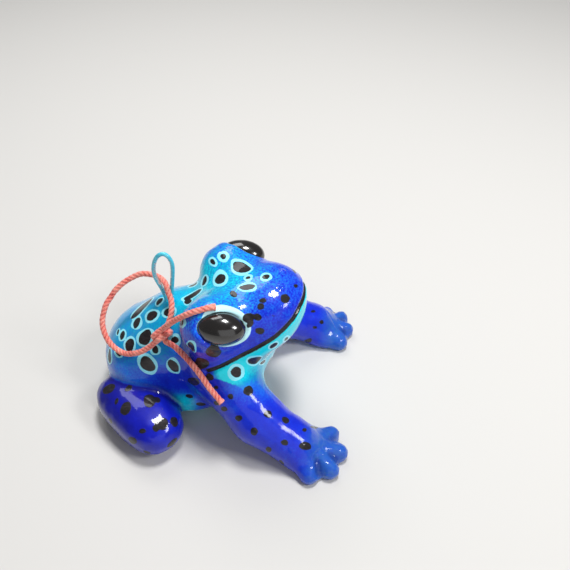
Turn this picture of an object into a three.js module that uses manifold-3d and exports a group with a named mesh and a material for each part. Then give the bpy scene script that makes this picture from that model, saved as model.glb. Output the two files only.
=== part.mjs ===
// A hand painted clay frog, made to hang up by a wire eye in its back and a loop of thin string.
// Millimetres. The frog faces +Y, its right side is +X and +Z is up. It rests on the plane z = 0.
// The sizes below are laid out from a point under its belly. The whole is then moved back along Y, so
// that the origin lies under the middle of the figure's length.
import * as THREE from 'three';
import { MarchingCubes } from 'three/addons/objects/MarchingCubes.js';
import { mergeVertices } from 'three/addons/utils/BufferGeometryUtils.js';
import Module from 'manifold-3d';

// Driving dimensions of the clay figure
const MIDDLE_Y = 7.37;
const TORSO_CENTRE = [0, -7.5, 11.8];
const TORSO_HALF_SIZES = [11.7, 15, 10.5];
const TORSO_PITCH = 24;
const RUMP_CENTRE = [0, -13.6, 9];
const RUMP_HALF_SIZES = [12.2, 8, 8.8];
const HEAD_CENTRE = [0, 10.5, 26.5];
const HEAD_PITCH = 24;
const SKULL_ON_HEAD = [0, 1, 0];
const SKULL_HALF_SIZES = [12, 13, 7.5];
const BROW_ON_HEAD = [9, -2.6, 4.2];
const MOUTH_ON_HEAD = -1.7;
const EYE_CENTRE = [11.8, 9.1, 31.7];
const EYE_HALF_SIZES = [3.4, 5, 3.2];
const SHOULDER = [10.5, 7.5, 16.5];
const ELBOW = [16.2, 16.8, 8.6];
const WRIST = [18.6, 25.5, 4];
const ARM_RADII = [6.3, 5.6, 5.2];
const PALM_CENTRE = [19, 29.5, 1.8];
const WRIST_CUT_Y = 24.5;
const HAND_MIDDLE = [19, 30, 3];
const HAND_REACH = 12;
const FINGER_RADIUS = 2.4;
const FINGER_HEIGHT = 1.5;
const NOTCH_RADIUS = 1.1;

// Where the fingers end and where the notches between them open, for each hand
const HANDS = {
  right: {
    tips: [[14, 33.5], [18.3, 35.6], [22.7, 34], [24.6, 29.6]],
    notches: [[14.9, 35.4], [21, 36], [24.9, 31.9]],
  },
  left: {
    tips: [[14.9, 33.2], [19.5, 34.5], [23.4, 32.9], [24.6, 29.2]],
    notches: [[17.2, 35.6], [22.6, 34.8], [25.8, 31.2]],
  },
};
const THIGH_CENTRES = { right: [15.8, -11, 5], left: [15.2, -11, 4.9] };
const THIGH_HALF_SIZES = [6.9, 12.2, 5.3];
const THIGH_YAW = 37;
const THIGH_SQUARENESS = 2.7;
const HEEL = [10.5, -8, 2.2];
const TOE_TIPS = [[8.4, -4.6, 1.6], [10.8, -4.2, 1.6]];

// The wire eye stands in the back, in the plane between the two sides, and its feet sink into the clay
const WIRE_RADIUS = 0.47;
const WIRE_PATH = [
  [0, -6, 25], [0, -6.3, 27.5], [0, -6.9, 30], [0, -7.8, 32.8], [0, -7.9, 35.2], [0, -7.4, 37.4],
  [0, -6.4, 39.2], [0, -5.1, 39.9], [0, -4, 39.1], [0, -3.5, 37], [0, -3.9, 33.5], [0, -4.5, 30],
  [0, -4.8, 27.5], [0, -5, 25],
];

// The string, from the knot through the wire eye and round to the knot again, and its two tails
const CORD_RADIUS = 0.66;
const KNOT_CENTRE = [8.8, -5, 24.5];
const KNOT_HALF_SIZES = [1.5, 2, 1.4];
const LOOP_PATH = [
  [8.8, -5, 24.5], [7.7, -4.5, 24.9], [6.5, -3.9, 25.9], [4.8, -3.6, 27.2], [2.7, -4, 28.7],
  [1.4, -4.9, 30.1], [0, -5.7, 31.2], [-1.3, -6.9, 31.2], [-2, -8.6, 31.6], [-1.8, -11.7, 31.9],
  [-1, -14.2, 30.9], [-0.2, -15.8, 30], [0.8, -17.6, 28.4], [1.7, -18.6, 27], [2.8, -19.4, 26],
  [4, -20, 24.2], [5, -20.2, 22.8], [6, -20, 21.4], [7.3, -19.1, 19.8], [8.2, -17.8, 18.3],
  [9, -15.9, 17.4], [9.7, -13.9, 17.6], [10.3, -11.9, 18.7], [10.6, -9.8, 20], [10.4, -7.7, 21.7],
  [9.7, -6.2, 23.2],
];
const UPPER_TAIL_PATH = [
  [8.8, -5, 24.5], [9.4, -4.1, 26.5], [9.9, -2.9, 28.7], [10.5, -1, 31], [11.1, 1.3, 33.3],
  [11.3, 3.4, 34.9], [11, 5.2, 35.6], [10.5, 6.9, 36], [10, 8.1, 35.9],
];
const LOWER_TAIL_PATH = [
  [8.8, -5, 24.5], [9.9, -3.4, 24], [10.8, -2, 23.5], [11.7, -0.3, 22.8], [13.1, 1.6, 22.3],
  [14.8, 3.6, 21.8], [16.4, 5.5, 20.9], [17.9, 7.4, 19.3], [19.3, 10.1, 16.8],
];

// Spacing of the surface facets on each piece, and the slits that keep neighbouring pieces apart
const CELLS = { torso: 2.6, head: 2.05, arm: 1.9, hand: 1.15, thigh: 2.2, foot: 1.6 };
const LEAST_CORNER_SHARE = 0.05;
const GAP = 0.3;

const wasm = await Module();
wasm.setup();

const degrees = THREE.MathUtils.degToRad;
const vector = (list) => new THREE.Vector3(...list);
const mirrored = (list, side) => [list[0] * side, list[1], list[2]];

// Distance from a point to a stretched ball, negative inside it. Above 2, squareness fills its corners.
function ball(centre, radii, pitch = 0, yaw = 0, squareness = 2) {
  const middle = vector(centre);
  const size = vector(radii);
  const turn = new THREE.Quaternion().setFromEuler(
    new THREE.Euler(degrees(pitch), 0, degrees(yaw), 'ZXY'));
  turn.invert();
  const least = Math.min(...radii);
  return (point) => {
    const local = point.clone().sub(middle).applyQuaternion(turn).divide(size);
    const shares = local.toArray().map(Math.abs);
    const reach = shares.reduce((sum, share) => sum + share ** squareness, 0) ** (1 / squareness);
    if (reach === 0) return -least;
    const slopes = shares.map((share, axis) => (share / reach) ** (squareness - 1) / radii[axis]);
    return (reach - 1) / Math.hypot(...slopes);
  };
}

// Distance from a point to a roll of clay that tapers from one round end to the other
function roll(start, end, startRadius, endRadius) {
  const from = vector(start);
  const along = vector(end).sub(from);
  const length = along.length();
  along.normalize();
  const taper = (startRadius - endRadius) / length;
  const cosine = Math.sqrt(1 - taper * taper);
  return (point) => {
    const offset = point.clone().sub(from);
    const run = offset.dot(along);
    const side = Math.sqrt(Math.max(offset.lengthSq() - run * run, 0));
    const tilt = side * -taper + run * cosine;
    if (tilt < 0) return offset.length() - startRadius;
    if (tilt > cosine * length) return Math.hypot(side, run - length) - endRadius;
    return side * cosine + run * taper - startRadius;
  };
}

// Two forms pressed together, with the crease between them smoothed over a width
function blend(first, second, width) {
  return (point) => {
    const a = first(point);
    const b = second(point);
    const share = Math.max(width - Math.abs(a - b), 0) / width;
    return Math.min(a, b) - share * share * width / 4;
  };
}

// A form with another pressed into it, with the edge smoothed over a width
function press(form, tool, width) {
  const rest = blend((point) => -form(point), tool, width);
  return (point) => -rest(point);
}

const join = (forms, width) => forms.reduce((whole, form) => blend(whole, form, width));
const nearest = (forms) => (point) => Math.min(...forms.map((form) => form(point)));

// A place given in the pitched frame of the head, as a place in the frog's own frame
function onHead([x, ahead, above]) {
  const pitch = degrees(HEAD_PITCH);
  return [
    HEAD_CENTRE[0] + x,
    HEAD_CENTRE[1] + ahead * Math.cos(pitch) - above * Math.sin(pitch),
    HEAD_CENTRE[2] + ahead * Math.sin(pitch) + above * Math.cos(pitch),
  ];
}

function torsoForm() {
  const barrel = ball(TORSO_CENTRE, TORSO_HALF_SIZES, TORSO_PITCH);
  const chest = roll([0, -2, 16], [0, 8, 19], 10.8, 9);
  const throat = ball([0, 10, 15.5], [9, 8.6, 8]);
  const belly = ball([0, -1, 5.8], [14.2, 13, 7], 4);
  const rump = ball(RUMP_CENTRE, RUMP_HALF_SIZES);
  return join([barrel, chest, throat, belly, rump], 5);
}

function headForm() {
  const skull = ball(onHead(SKULL_ON_HEAD), SKULL_HALF_SIZES, HEAD_PITCH);
  const snout = ball(onHead([0, 8.5, -0.5]), [8.5, 7, 5], HEAD_PITCH);
  const jaw = ball(onHead([0, 0, -4.5]), [11.5, 13, 5.5], HEAD_PITCH);
  const brows = [-1, 1].map((side) => ball(
    onHead(mirrored(BROW_ON_HEAD, side)), [6.4, 6.8, 6], HEAD_PITCH));
  return join([skull, snout, jaw, ...brows], 3.5);
}

function armForm(side, { tips, notches }) {
  const upper = roll(mirrored(SHOULDER, side), mirrored(ELBOW, side), ARM_RADII[0], ARM_RADII[1]);
  const lower = roll(mirrored(ELBOW, side), mirrored(WRIST, side), ARM_RADII[1], ARM_RADII[2]);
  const palm = ball(mirrored(PALM_CENTRE, side), [6.2, 5.6, 3], -6);
  const towardsPalm = ([x, y, z], share) => (
    mirrored(new THREE.Vector3(x, y, z).lerp(vector(PALM_CENTRE), share).toArray(), side));
  const fingers = tips.map(([x, y]) => roll(
    towardsPalm([x, y, FINGER_HEIGHT], 0.6), towardsPalm([x, y, FINGER_HEIGHT], 0),
    FINGER_RADIUS, FINGER_RADIUS * 0.9));
  const grooves = notches.map(([x, y]) => roll(
    towardsPalm([x, y, 7], 0.5), towardsPalm([x, y, 2.6], 0), NOTCH_RADIUS / 2, NOTCH_RADIUS));
  const paw = blend(blend(blend(upper, lower, 2), palm, 2.5), join(fingers, 0.6), 1.2);
  return press(paw, nearest(grooves), 0.8);
}

function thighForm(side, centre) {
  return ball(mirrored(centre, side), THIGH_HALF_SIZES, 0, side * -THIGH_YAW, THIGH_SQUARENESS);
}

function footForm(side) {
  const toes = TOE_TIPS.map((tip) => roll(mirrored(HEEL, side), mirrored(tip, side), 2.6, 2));
  return join(toes, 0.6);
}

// The triangles of the surface where a distance function is zero, inside a cube round a centre
function surfaceOf(distance, { centre, reach, cell }) {
  const size = 2 * Math.ceil(reach / cell) + 2;
  const cubes = new MarchingCubes(size, new THREE.MeshStandardMaterial(), false, false, 40000);
  cubes.isolation = 0;
  const point = new THREE.Vector3();
  const place = (step, axis) => centre[axis] + (step - size / 2) * cell;
  for (let z = 0; z < size; z += 1) {
    for (let y = 0; y < size; y += 1) {
      for (let x = 0; x < size; x += 1) {
        point.set(place(x, 0), place(y, 1), place(z, 2));
        const value = distance(point);
        const clear = Math.max(Math.abs(value), LEAST_CORNER_SHARE * cell);
        cubes.field[x + size * (y + size * z)] = value < 0 ? clear : -clear;
      }
    }
  }
  cubes.update();
  const positions = cubes.geometry.getAttribute('position').array.slice(0, cubes.count * 3);
  const geometry = new THREE.BufferGeometry();
  geometry.setAttribute('position', new THREE.BufferAttribute(positions, 3));
  geometry.scale(...Array(3).fill(size / 2 * cell));
  geometry.translate(...centre);
  return geometry;
}

// A closed mesh as a solid that can be joined and cut
function solidOf(geometry) {
  const bare = geometry.clone();
  bare.deleteAttribute('normal');
  bare.deleteAttribute('uv');
  const merged = mergeVertices(bare, 1e-4);
  const corners = merged.index.array;
  const triangles = [];
  for (let i = 0; i < corners.length; i += 3) {
    const [a, b, c] = corners.slice(i, i + 3);
    if (a !== b && b !== c && c !== a) triangles.push(a, b, c);
  }
  return new wasm.Manifold(new wasm.Mesh({
    numProp: 3,
    vertProperties: new Float32Array(merged.getAttribute('position').array),
    triVerts: new Uint32Array(triangles),
  }));
}

// The largest closed surface of a solid, as a mesh
function geometryOf(solid) {
  const whole = solid.decompose().reduce((a, b) => (a.volume() > b.volume() ? a : b));
  const mesh = whole.getMesh();
  const geometry = new THREE.BufferGeometry();
  geometry.setAttribute('position', new THREE.BufferAttribute(mesh.vertProperties, 3));
  geometry.setIndex(new THREE.BufferAttribute(mesh.triVerts, 1));
  return geometry;
}

function boxSolid(low, high) {
  const size = vector(high).sub(vector(low));
  const geometry = new THREE.BoxGeometry(size.x, size.y, size.z);
  geometry.translate(...vector(low).add(vector(high)).multiplyScalar(0.5));
  return solidOf(geometry);
}

// The space round one form where it is nearer than the others, drawn in or let out by a slit
function territory(own, others, slit, region) {
  const margin = 3;
  const edge = (point) => Math.max(own(point) - others(point) + slit, own(point) - margin);
  return solidOf(surfaceOf(edge, region));
}

const sides = { right: 1, left: -1 };
const perSide = (make) => Object.fromEntries(Object.entries(sides).map(
  ([name, side]) => [name, make(side, name)]));

const torso = torsoForm();
const head = headForm();
const arms = perSide((side, name) => armForm(side, HANDS[name]));
const thighs = perSide((side, name) => thighForm(side, THIGH_CENTRES[name]));
const feet = perSide((side) => footForm(side));

const trunk = blend(torso, head, 4);
const figure = join([trunk, arms.right, arms.left], 6);
const aboveGround = boxSolid([-80, -80, 0], [80, 80, 80]);

// A form by itself, grown by a clearance
function formSolid(form, region, clearance = 0) {
  return solidOf(surfaceOf((point) => form(point) - clearance, region)).intersect(aboveGround);
}

// The clay of the trunk and arms as far as a margin round one of their forms
function clayRound(own, region) {
  const margin = 4;
  return formSolid((point) => Math.max(figure(point), own(point) - margin), region);
}

const model = new THREE.Group();
model.position.y = -MIDDLE_Y;

function addPiece(name, solid, colour, roughness = 0.15) {
  const material = new THREE.MeshStandardMaterial({ color: colour, roughness, metalness: 0 });
  const mesh = new THREE.Mesh(geometryOf(solid), material);
  mesh.name = name;
  model.add(mesh);
}

// Half of the space along the mouth, above or below it, drawn back from it by half a slit
function mouthHalf(direction) {
  const depth = 40;
  const geometry = new THREE.BoxGeometry(80, 80, depth);
  geometry.translate(0, 0, direction * (depth / 2 + GAP / 2));
  geometry.rotateX(degrees(HEAD_PITCH));
  geometry.translate(...onHead([0, 0, MOUTH_ON_HEAD]));
  return solidOf(geometry);
}

function eyeSolid(side, clearance = 0) {
  const geometry = new THREE.SphereGeometry(1, 20, 12);
  geometry.rotateZ(degrees(90));
  geometry.scale(...EYE_HALF_SIZES.map((half) => half + clearance));
  geometry.translate(...mirrored(EYE_CENTRE, side));
  return solidOf(geometry);
}

// A round bar along a smooth open path
function barSolid(path, radius, sides, steps) {
  const corners = Array.from({ length: sides }, (_, i) => {
    const angle = 2 * Math.PI * i / sides;
    return new THREE.Vector2(radius * Math.cos(angle), radius * Math.sin(angle));
  });
  return solidOf(new THREE.ExtrudeGeometry(new THREE.Shape(corners), {
    extrudePath: new THREE.CatmullRomCurve3(path.map(vector)), steps, bevelEnabled: false,
  }));
}

const wireSolid = (clearance = 0) => barSolid(WIRE_PATH, WIRE_RADIUS + clearance, 8, 30);
const cordSolid = (path, steps) => barSolid(path, CORD_RADIUS, 8, steps).subtract(knotSolid(GAP));

function knotSolid(clearance = 0) {
  const geometry = new THREE.SphereGeometry(1, 12, 8);
  geometry.scale(...KNOT_HALF_SIZES.map((half) => half + clearance));
  geometry.translate(...KNOT_CENTRE);
  return solidOf(geometry);
}

const torsoRegion = { centre: [0, -4, 15], reach: 32, cell: CELLS.torso };
const headRegion = { centre: [0, 10, 25.6], reach: 26, cell: CELLS.head };
const armRegions = perSide((side) => (
  { centre: mirrored([15, 18, 9], side), reach: 26, cell: CELLS.arm }));
const handRegions = perSide((side) => (
  { centre: mirrored(HAND_MIDDLE, side), reach: HAND_REACH + 1, cell: CELLS.hand }));
const behindWrist = boxSolid([-80, -80, 0], [80, WRIST_CUT_Y - GAP / 2, 80]);
const beyondWrist = boxSolid([-80, WRIST_CUT_Y + GAP / 2, 0], [80, 80, 80]);
const thighRegions = perSide((side, name) => (
  { centre: mirrored(THIGH_CENTRES[name], side), reach: 20, cell: CELLS.thigh }));
const footRegions = perSide((side) => (
  { centre: mirrored(HEEL, side), reach: 13, cell: CELLS.foot }));

const headOthers = nearest([torso, arms.right, arms.left]);
let wholeHead = clayRound(head, headRegion).intersect(territory(head, headOthers, GAP, headRegion));
let body = clayRound(torso, torsoRegion).subtract(territory(head, headOthers, -GAP, headRegion));
for (const [name, side] of Object.entries(sides)) {
  const armOthers = nearest([torso, head]);
  const armSpace = territory(arms[name], armOthers, GAP, armRegions[name]);
  const wholeArm = clayRound(arms[name], armRegions[name]).intersect(armSpace);
  const handSpace = ball(mirrored(HAND_MIDDLE, side), [HAND_REACH, HAND_REACH, HAND_REACH]);
  const wholeHand = formSolid(
    (point) => Math.max(arms[name](point), handSpace(point)), handRegions[name]);
  addPiece(`front_leg_${name}`, wholeArm.intersect(behindWrist), '#1a35c8');
  addPiece(`front_foot_${name}`, wholeHand.intersect(beyondWrist), '#2a5fc0');
  body = body.subtract(territory(arms[name], armOthers, -GAP, armRegions[name]));

  const foot = formSolid(feet[name], footRegions[name]);
  const footClear = formSolid(feet[name], footRegions[name], GAP);
  const thigh = formSolid(thighs[name], thighRegions[name]);
  const thighClear = formSolid(thighs[name], thighRegions[name], GAP);
  body = body.subtract(thighClear).subtract(footClear);
  addPiece(`hind_leg_${name}`, thigh.subtract(footClear), '#1a2fc0');
  addPiece(`hind_foot_${name}`, foot, '#14206a');

  wholeHead = wholeHead.subtract(eyeSolid(side, GAP));
  addPiece(`eye_${name}`, eyeSolid(side), '#0a0a0c', 0.05);
}
addPiece('head', wholeHead.intersect(mouthHalf(1)), '#1c5ed0');
addPiece('lower_jaw', wholeHead.intersect(mouthHalf(-1)), '#00d0ea');
addPiece('torso', body.subtract(wireSolid(GAP)), '#0fa8dc');
addPiece('wire_loop', wireSolid(), '#35b8d8', 0.3);
addPiece('cord_knot', knotSolid(), '#e0605c', 0.9);
addPiece('cord_loop', cordSolid(LOOP_PATH, 34), '#e0605c', 0.9);
addPiece('cord_tail_upper', cordSolid(UPPER_TAIL_PATH, 9), '#e0605c', 0.9);
addPiece('cord_tail_lower', cordSolid(LOWER_TAIL_PATH, 10), '#e0605c', 0.9);

export default model;
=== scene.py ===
# %% [markdown]
# # A painted clay frog, made to hang up
#
# The real thing is a small figure of fired clay, as long as a thumb, painted by hand in blues with
# ringed black spots and covered in clear gloss varnish. A bent wire eye is set in its back, and a loop
# of thin coral string hangs from the eye. The solids of the figure are loaded first as a fixed frame.
# Everything made here goes where they are.

import math
import random

import bmesh
import bpy
import numpy as np
from mathutils import Matrix, Vector, noise
from mathutils.bvhtree import BVHTree


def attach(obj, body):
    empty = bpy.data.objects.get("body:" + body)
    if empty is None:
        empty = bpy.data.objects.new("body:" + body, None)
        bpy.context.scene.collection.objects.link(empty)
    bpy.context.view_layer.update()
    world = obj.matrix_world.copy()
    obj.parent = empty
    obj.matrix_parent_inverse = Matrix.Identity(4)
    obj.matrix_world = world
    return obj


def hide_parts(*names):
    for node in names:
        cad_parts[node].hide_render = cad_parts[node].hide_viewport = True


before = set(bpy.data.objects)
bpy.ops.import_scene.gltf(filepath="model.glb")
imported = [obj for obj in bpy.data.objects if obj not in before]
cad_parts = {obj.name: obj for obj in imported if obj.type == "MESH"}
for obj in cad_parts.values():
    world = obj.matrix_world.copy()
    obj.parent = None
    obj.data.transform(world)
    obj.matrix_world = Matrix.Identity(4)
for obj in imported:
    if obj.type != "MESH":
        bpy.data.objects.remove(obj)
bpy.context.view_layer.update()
MM = 0.001

# %% [markdown]
# ## The camera
#
# The camera comes first, because the painted spots are placed by looking through it. It looks down on
# the frog's right side from a hand's width away. Its place, turn and focal length were found by fitting
# the snout, the hands, the eye and the thigh to where the photograph shows them.

# %% Set up the camera
FRAME_PX = 570
FOCAL_PX = 617
SENSOR_MM = 36
CAMERA_AZIMUTH = 98
CAMERA_ELEVATION = 43
CAMERA_PLACE = Vector((95.1, 26.85, 123.9)) * MM

camera = bpy.data.objects.new("camera", bpy.data.cameras.new("camera"))
camera.data.sensor_width = SENSOR_MM
camera.data.lens = FOCAL_PX / FRAME_PX * SENSOR_MM
camera.data.clip_start = 5 * MM
camera.location = CAMERA_PLACE
camera.rotation_euler = (math.radians(90 - CAMERA_ELEVATION), 0, math.radians(CAMERA_AZIMUTH))
bpy.context.collection.objects.link(camera)
bpy.context.scene.camera = camera


def ray_through(across, down):
    """The direction from the camera through a pixel of the square frame."""
    middle = FRAME_PX / 2
    sight = Vector(((across - middle) / FOCAL_PX, (middle - down) / FOCAL_PX, -1))
    return (camera.rotation_euler.to_quaternion() @ sight).normalized()


print("focal length", round(camera.data.lens, 1), "mm")

# %% [markdown]
# ## The string
#
# One length of thin twisted string runs from its upper end on the brow into a small overhand knot beside
# the spine, round the loop and through the wire eye, back through the knot and down the right shoulder.
# Its route is a list of points, the same as in the solids apart from the turns of the
# knot. Those are given as seen from the camera, in steps right, up and towards it from the middle of the
# knot. The curve through the points is evened a few times, because thread has no sharp corners. A lobed
# outline is swept along it and turned as it goes, so the strands really wind round each other and catch
# the light as twisted string does. A plain round tube with a striped bump would be easier, but its edge
# would stay smooth.

# %% The string's route
MIDDLE_Y = 7.37
STRING_RADIUS = 0.66
KNOT_CENTRE = (8.8, -5, 24.5)
UPPER_TAIL = [
    (10, 8.1, 35.9), (10.5, 6.9, 36), (11, 5.2, 35.6), (11.3, 3.4, 34.9), (11.1, 1.3, 33.3),
    (10.5, -1, 31), (9.9, -2.9, 28.7),
]
KNOT_FROM_UPPER_TAIL = [
    (1.2, 1.65, 2.5), (0.43, 1.15, 1.85), (-0.6, 0.5, 1.55), (-1.3, -0.1, 1.1), (-1.75, -0.6, 0.3),
    (-1.2, -0.9, -0.6), (0, -0.2, -0.85), (1.2, 0.5, -0.6), (2, 0.5, 0.3), (1.6, 0.1, 1.2),
    (0.7, -0.35, 1.55), (-0.3, -0.95, 1.35), (-1.1, -1.5, 0.5),
]
LOOP = [
    (10.4, -7.7, 21.7), (10.6, -9.8, 20), (10.3, -11.9, 18.7), (9.7, -13.9, 17.6), (9, -15.9, 17.4),
    (8.2, -17.8, 18.3), (7.3, -19.1, 19.8), (6, -20, 21.4), (5, -20.2, 22.8), (4, -20, 24.2),
    (2.8, -19.4, 26), (1.7, -18.6, 27), (0.8, -17.6, 28.4), (-0.2, -15.8, 30), (-1, -14.2, 30.9),
    (-1.8, -11.7, 31.9), (-2, -8.6, 31.6), (-1.3, -6.9, 31.2), (0, -5.7, 31.2), (1.4, -4.9, 30.1),
    (2.7, -4, 28.7), (4.8, -3.6, 27.2), (6.5, -3.9, 25.9),
]
KNOT_TO_LOWER_TAIL = [
    (1, 1.4, -0.1), (0.75, 0.8, 0.35), (0.6, 0, 0.45), (0.6, -0.8, 0.4), (0.9, -1.5, 0.4),
]
LOWER_TAIL = [
    (10.8, -2, 23.5), (11.7, -0.3, 22.8), (13.1, 1.6, 22.3), (14.8, 3.6, 21.8), (16.4, 5.5, 20.9),
    (17.9, 7.4, 19.3), (19.3, 10.1, 16.8),
]


def placed(point):
    """A point of the figure's own layout, in metres in the frame."""
    return (Vector(point) - Vector((0, MIDDLE_Y, 0))) * MM


def seen_from_camera(step):
    """A step right, up and towards the camera from the middle of the knot, in metres in the frame."""
    return placed(KNOT_CENTRE) + camera.rotation_euler.to_quaternion() @ Vector(step) * MM


STRING_POINTS = [
    *map(placed, UPPER_TAIL), *map(seen_from_camera, KNOT_FROM_UPPER_TAIL), *map(placed, LOOP),
    *map(seen_from_camera, KNOT_TO_LOWER_TAIL), *map(placed, LOWER_TAIL)]
print("the string has", len(STRING_POINTS), "points on its route")

# %% Smooth a route
CURVE_STEPS = 20


def smooth_route(points, spacing):
    """Points a steady distance apart on a smooth curve through the given ones."""
    ends = [points[0] * 2 - points[1], *points, points[-1] * 2 - points[-2]]
    dense = []
    for before, start, end, after in zip(ends, ends[1:], ends[2:], ends[3:]):
        for step in range(CURVE_STEPS):
            t = step / CURVE_STEPS
            dense.append(0.5 * (
                2 * start + (end - before) * t
                + (2 * before - 5 * start + 4 * end - after) * t ** 2
                + (3 * start - before - 3 * end + after) * t ** 3))
    dense.append(points[-1])
    lengths = np.cumsum([0, *[(b - a).length for a, b in zip(dense, dense[1:])]])
    places = np.linspace(0, lengths[-1], round(lengths[-1] / spacing) + 1)
    axes = [np.interp(places, lengths, [point[axis] for point in dense]) for axis in range(3)]
    return [Vector(point) for point in zip(*axes)], float(lengths[-1])


print("the route is", round(smooth_route(STRING_POINTS, MM)[1] / MM), "mm long before it is evened")


# %% Put a mesh in the scene
def link(name, data):
    """A new object at the origin, in the scene."""
    made = bpy.data.objects.new(name, data)
    bpy.context.collection.objects.link(made)
    return made


def mesh_from(name, form):
    """A finished bmesh as a linked object with a smooth look."""
    mesh = bpy.data.meshes.new(name)
    form.to_mesh(mesh)
    form.free()
    mesh.shade_smooth()
    return link(name, mesh)


def rows_of(corners, name):
    """One vector of each corner, as rows of x, y and z."""
    flat = np.empty(len(corners) * 3)
    corners.foreach_get(name, flat)
    return flat.reshape(-1, 3)


def coordinates(mesh):
    """The places of the mesh's corners."""
    return rows_of(mesh.vertices, "co")


def directions(mesh):
    """Which way the surface faces at each corner."""
    return rows_of(mesh.vertex_normals, "vector")


def keep(mesh, name, values):
    """Stores one number for each corner of the mesh, for its material to read."""
    mesh.attributes.new(name, "FLOAT", "POINT").data.foreach_set("value", np.asarray(values, np.float32))


print("meshes can be made and marked")

# %% Sweep an outline along a route
MERGE_WITHIN = 1e-7


def swept(name, route, corners, turn_length=None, thickness=None):
    """A mesh tube: a closed outline swept along a route, and turned once in each turn length."""
    outline = bpy.data.curves.new(name + "_outline", "CURVE")
    outline.dimensions = "2D"
    ring = outline.splines.new("POLY")
    ring.points.add(len(corners) - 1)
    ring.use_cyclic_u = True
    for point, (across, up) in zip(ring.points, corners):
        point.co = (across, up, 0, 1)
    outline_object = link(name + "_outline", outline)

    path = bpy.data.curves.new(name + "_path", "CURVE")
    path.dimensions = "3D"
    path.twist_mode = "MINIMUM"
    path.bevel_mode = "OBJECT"
    path.bevel_object = outline_object
    path.use_fill_caps = True
    line = path.splines.new("POLY")
    line.points.add(len(route) - 1)
    walked = 0
    for number, (point, place) in enumerate(zip(line.points, route)):
        walked += (place - route[max(number - 1, 0)]).length
        point.co = (*place, 1)
        point.radius = thickness(walked) if thickness else 1
        point.tilt = 2 * math.pi * walked / turn_length if turn_length else 0
    path_object = link(name + "_path", path)

    evaluated = path_object.evaluated_get(bpy.context.evaluated_depsgraph_get())
    form = bmesh.new()
    form.from_mesh(bpy.data.meshes.new_from_object(evaluated))
    bmesh.ops.remove_doubles(form, verts=form.verts, dist=MERGE_WITHIN)
    bmesh.ops.recalc_face_normals(form, faces=form.faces)
    for helper in (path_object, outline_object):
        bpy.data.objects.remove(helper)
    return mesh_from(name, form)


def outline_of(radius, corners, strands=0, depth=0):
    """The outline of a round bar, or of some round strands laid together."""
    outline = []
    for corner in range(corners):
        angle = 2 * math.pi * corner / corners
        reach = radius * MM * (1 - depth * (1 - abs(math.cos(strands * angle / 2))))
        outline.append((reach * math.cos(angle), reach * math.sin(angle)))
    return outline


print("a sweep merges corners within", MERGE_WITHIN, "m")

# %% Twist and thin the string
STRING_STRANDS = 3
STRAND_DEPTH = 0.12
TWIST_LENGTH = 3.1 * MM
FLARE_LENGTH = 1.3 * MM
FLARE = 0.22
SLUB = 0.06
SLUB_LENGTH = 1.7 * MM
STRING_CORNERS = 30
ROUTE_STEP = 0.16 * MM
EVENING_ROUNDS = 14

string_route = smooth_route(STRING_POINTS, ROUTE_STEP)[0]
for _ in range(EVENING_ROUNDS):
    string_route = [
        string_route[0],
        *((a + b * 2 + c) / 4 for a, b, c in zip(string_route, string_route[1:], string_route[2:])),
        string_route[-1]]
string_route, string_length = smooth_route(string_route, ROUTE_STEP)


def string_thickness(walked):
    """Spun thread is a little uneven, and the cut ends open out because nothing binds them there."""
    from_end = min(walked, string_length - walked)
    slub = SLUB * noise.noise((walked / SLUB_LENGTH, 0, 0))
    return 1 + slub + FLARE * max(0, 1 - from_end / FLARE_LENGTH) ** 2


print("the string is", round(string_length / MM, 1), "mm long")

# %% Make the string
string_outline = outline_of(STRING_RADIUS, STRING_CORNERS, STRING_STRANDS, STRAND_DEPTH)
string = swept("string", string_route, string_outline, TWIST_LENGTH, string_thickness)
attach(string, "root")
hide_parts("cord_loop", "cord_knot", "cord_tail_upper", "cord_tail_lower")
print("the string has", len(string.data.polygons), "faces")

# %% Mark the string's crests and grooves
route_rows = np.array([list(point) for point in string_route])
from_route = np.array([
    np.sqrt(((route_rows - place) ** 2).sum(1).min()) for place in coordinates(string.data)])
# The crest number also sets the string's colour: a painted highlight on the crests and painted shade in
# the grooves.
keep(string.data, "crest", np.clip(
    (from_route / (STRING_RADIUS * MM) - (1 - STRAND_DEPTH)) / STRAND_DEPTH, 0, 1))
print("crests marked on", len(from_route), "corners")

# %% [markdown]
# ## The wire eye
#
# The hanging eye is a short piece of craft wire, bent to a drop shape, with both ends pushed into the
# clay. It is a plain round bar on a smooth path, so the same sweep makes it from a round outline. It
# keeps a number for how far each place faces into the loop, where the string has rubbed the paint off.

# %% Make the wire eye
WIRE_RADIUS = 0.47
WIRE_CORNERS = 20
WIRE_STEP = 0.3 * MM
WIRE_ROUTE = [
    (0, -6, 25), (0, -6.3, 27.5), (0, -6.9, 30), (0, -7.8, 32.8), (0, -7.9, 35.2), (0, -7.4, 37.4),
    (0, -6.4, 39.2), (0, -5.1, 39.9), (0, -4, 39.1), (0, -3.5, 37), (0, -3.9, 33.5), (0, -4.5, 30),
    (0, -4.8, 27.5), (0, -5, 25),
]
WIRE_LOOP_MIDDLE = placed((0, -5.7, 35))
wire_route, wire_length = smooth_route([placed(point) for point in WIRE_ROUTE], WIRE_STEP)
wire = swept("wire_eye", wire_route, outline_of(WIRE_RADIUS, WIRE_CORNERS))
inward = np.array(WIRE_LOOP_MIDDLE) - coordinates(wire.data)
inward /= np.linalg.norm(inward, axis=1)[:, None]
keep(wire.data, "rubbed", (inward * directions(wire.data)).sum(1))
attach(wire, "root")
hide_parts("wire_loop")
print("wire eye", round(wire_length / MM), "mm of wire")

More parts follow.
